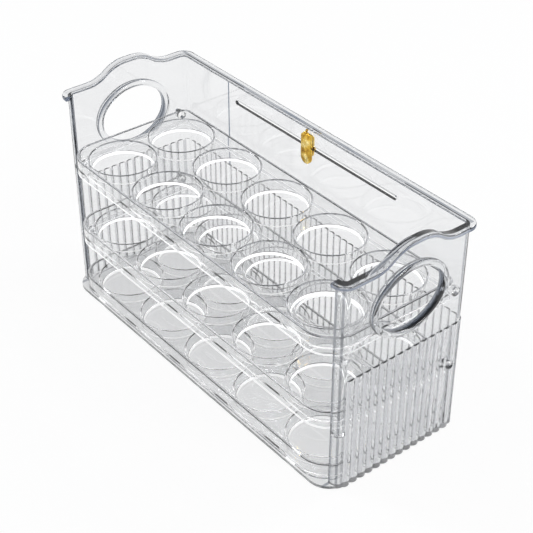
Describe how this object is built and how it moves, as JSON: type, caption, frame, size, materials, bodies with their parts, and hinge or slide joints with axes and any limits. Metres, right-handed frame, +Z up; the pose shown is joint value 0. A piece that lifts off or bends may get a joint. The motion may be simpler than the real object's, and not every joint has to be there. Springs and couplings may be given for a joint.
{
  "type": "egg holder",
  "caption": "Clear open-fronted egg holder in tiers: cup trays that flip up on rear pivots, end walls with finger holes, fluted lower walls and a sliding date marker.",
  "frame": {"origin": "middle of the footprint, on the surface that the holder stands on", "axes": "+X along the length, +Y to the back wall, +Z up"},
  "size_m": [0.274, 0.105, 0.1545],
  "materials": {
    "clear_plastic": "clear, polished",
    "gold_metal": "bright gold plate"
  },
  "bodies": {
    "frame": {"outer_frame": "clear_plastic", "bottom_tray": "clear_plastic"},
    "top_tray": {"top_tray": "clear_plastic"},
    "middle_tray": {"middle_tray": "clear_plastic"},
    "marker": {"marker_plate": "gold_metal", "marker_stem": "gold_metal", "marker_clip": "gold_metal", "marker_rivet": "gold_metal", "marker_knob": "gold_metal"}
  },
  "joints": [
    {"name": "top_tray_flip", "type": "hinge", "parent": "frame", "child": "top_tray", "pos_m": [0, 0.0402, 0.1017], "axis": [-1, 0, 0], "range_deg": [0, 90]},
    {"name": "middle_tray_flip", "type": "hinge", "parent": "frame", "child": "middle_tray", "pos_m": [0, 0.0402, 0.0494], "axis": [-1, 0, 0], "range_deg": [0, 63]},
    {"name": "marker_slide", "type": "slide", "parent": "frame", "child": "marker", "axis": [1, 0, 0], "range_m": [-0.068, 0.073]}
  ],
  "couplings": [
    {"joint": "middle_tray_flip", "follows": "top_tray_flip", "ratio": 0.7}
  ]
}
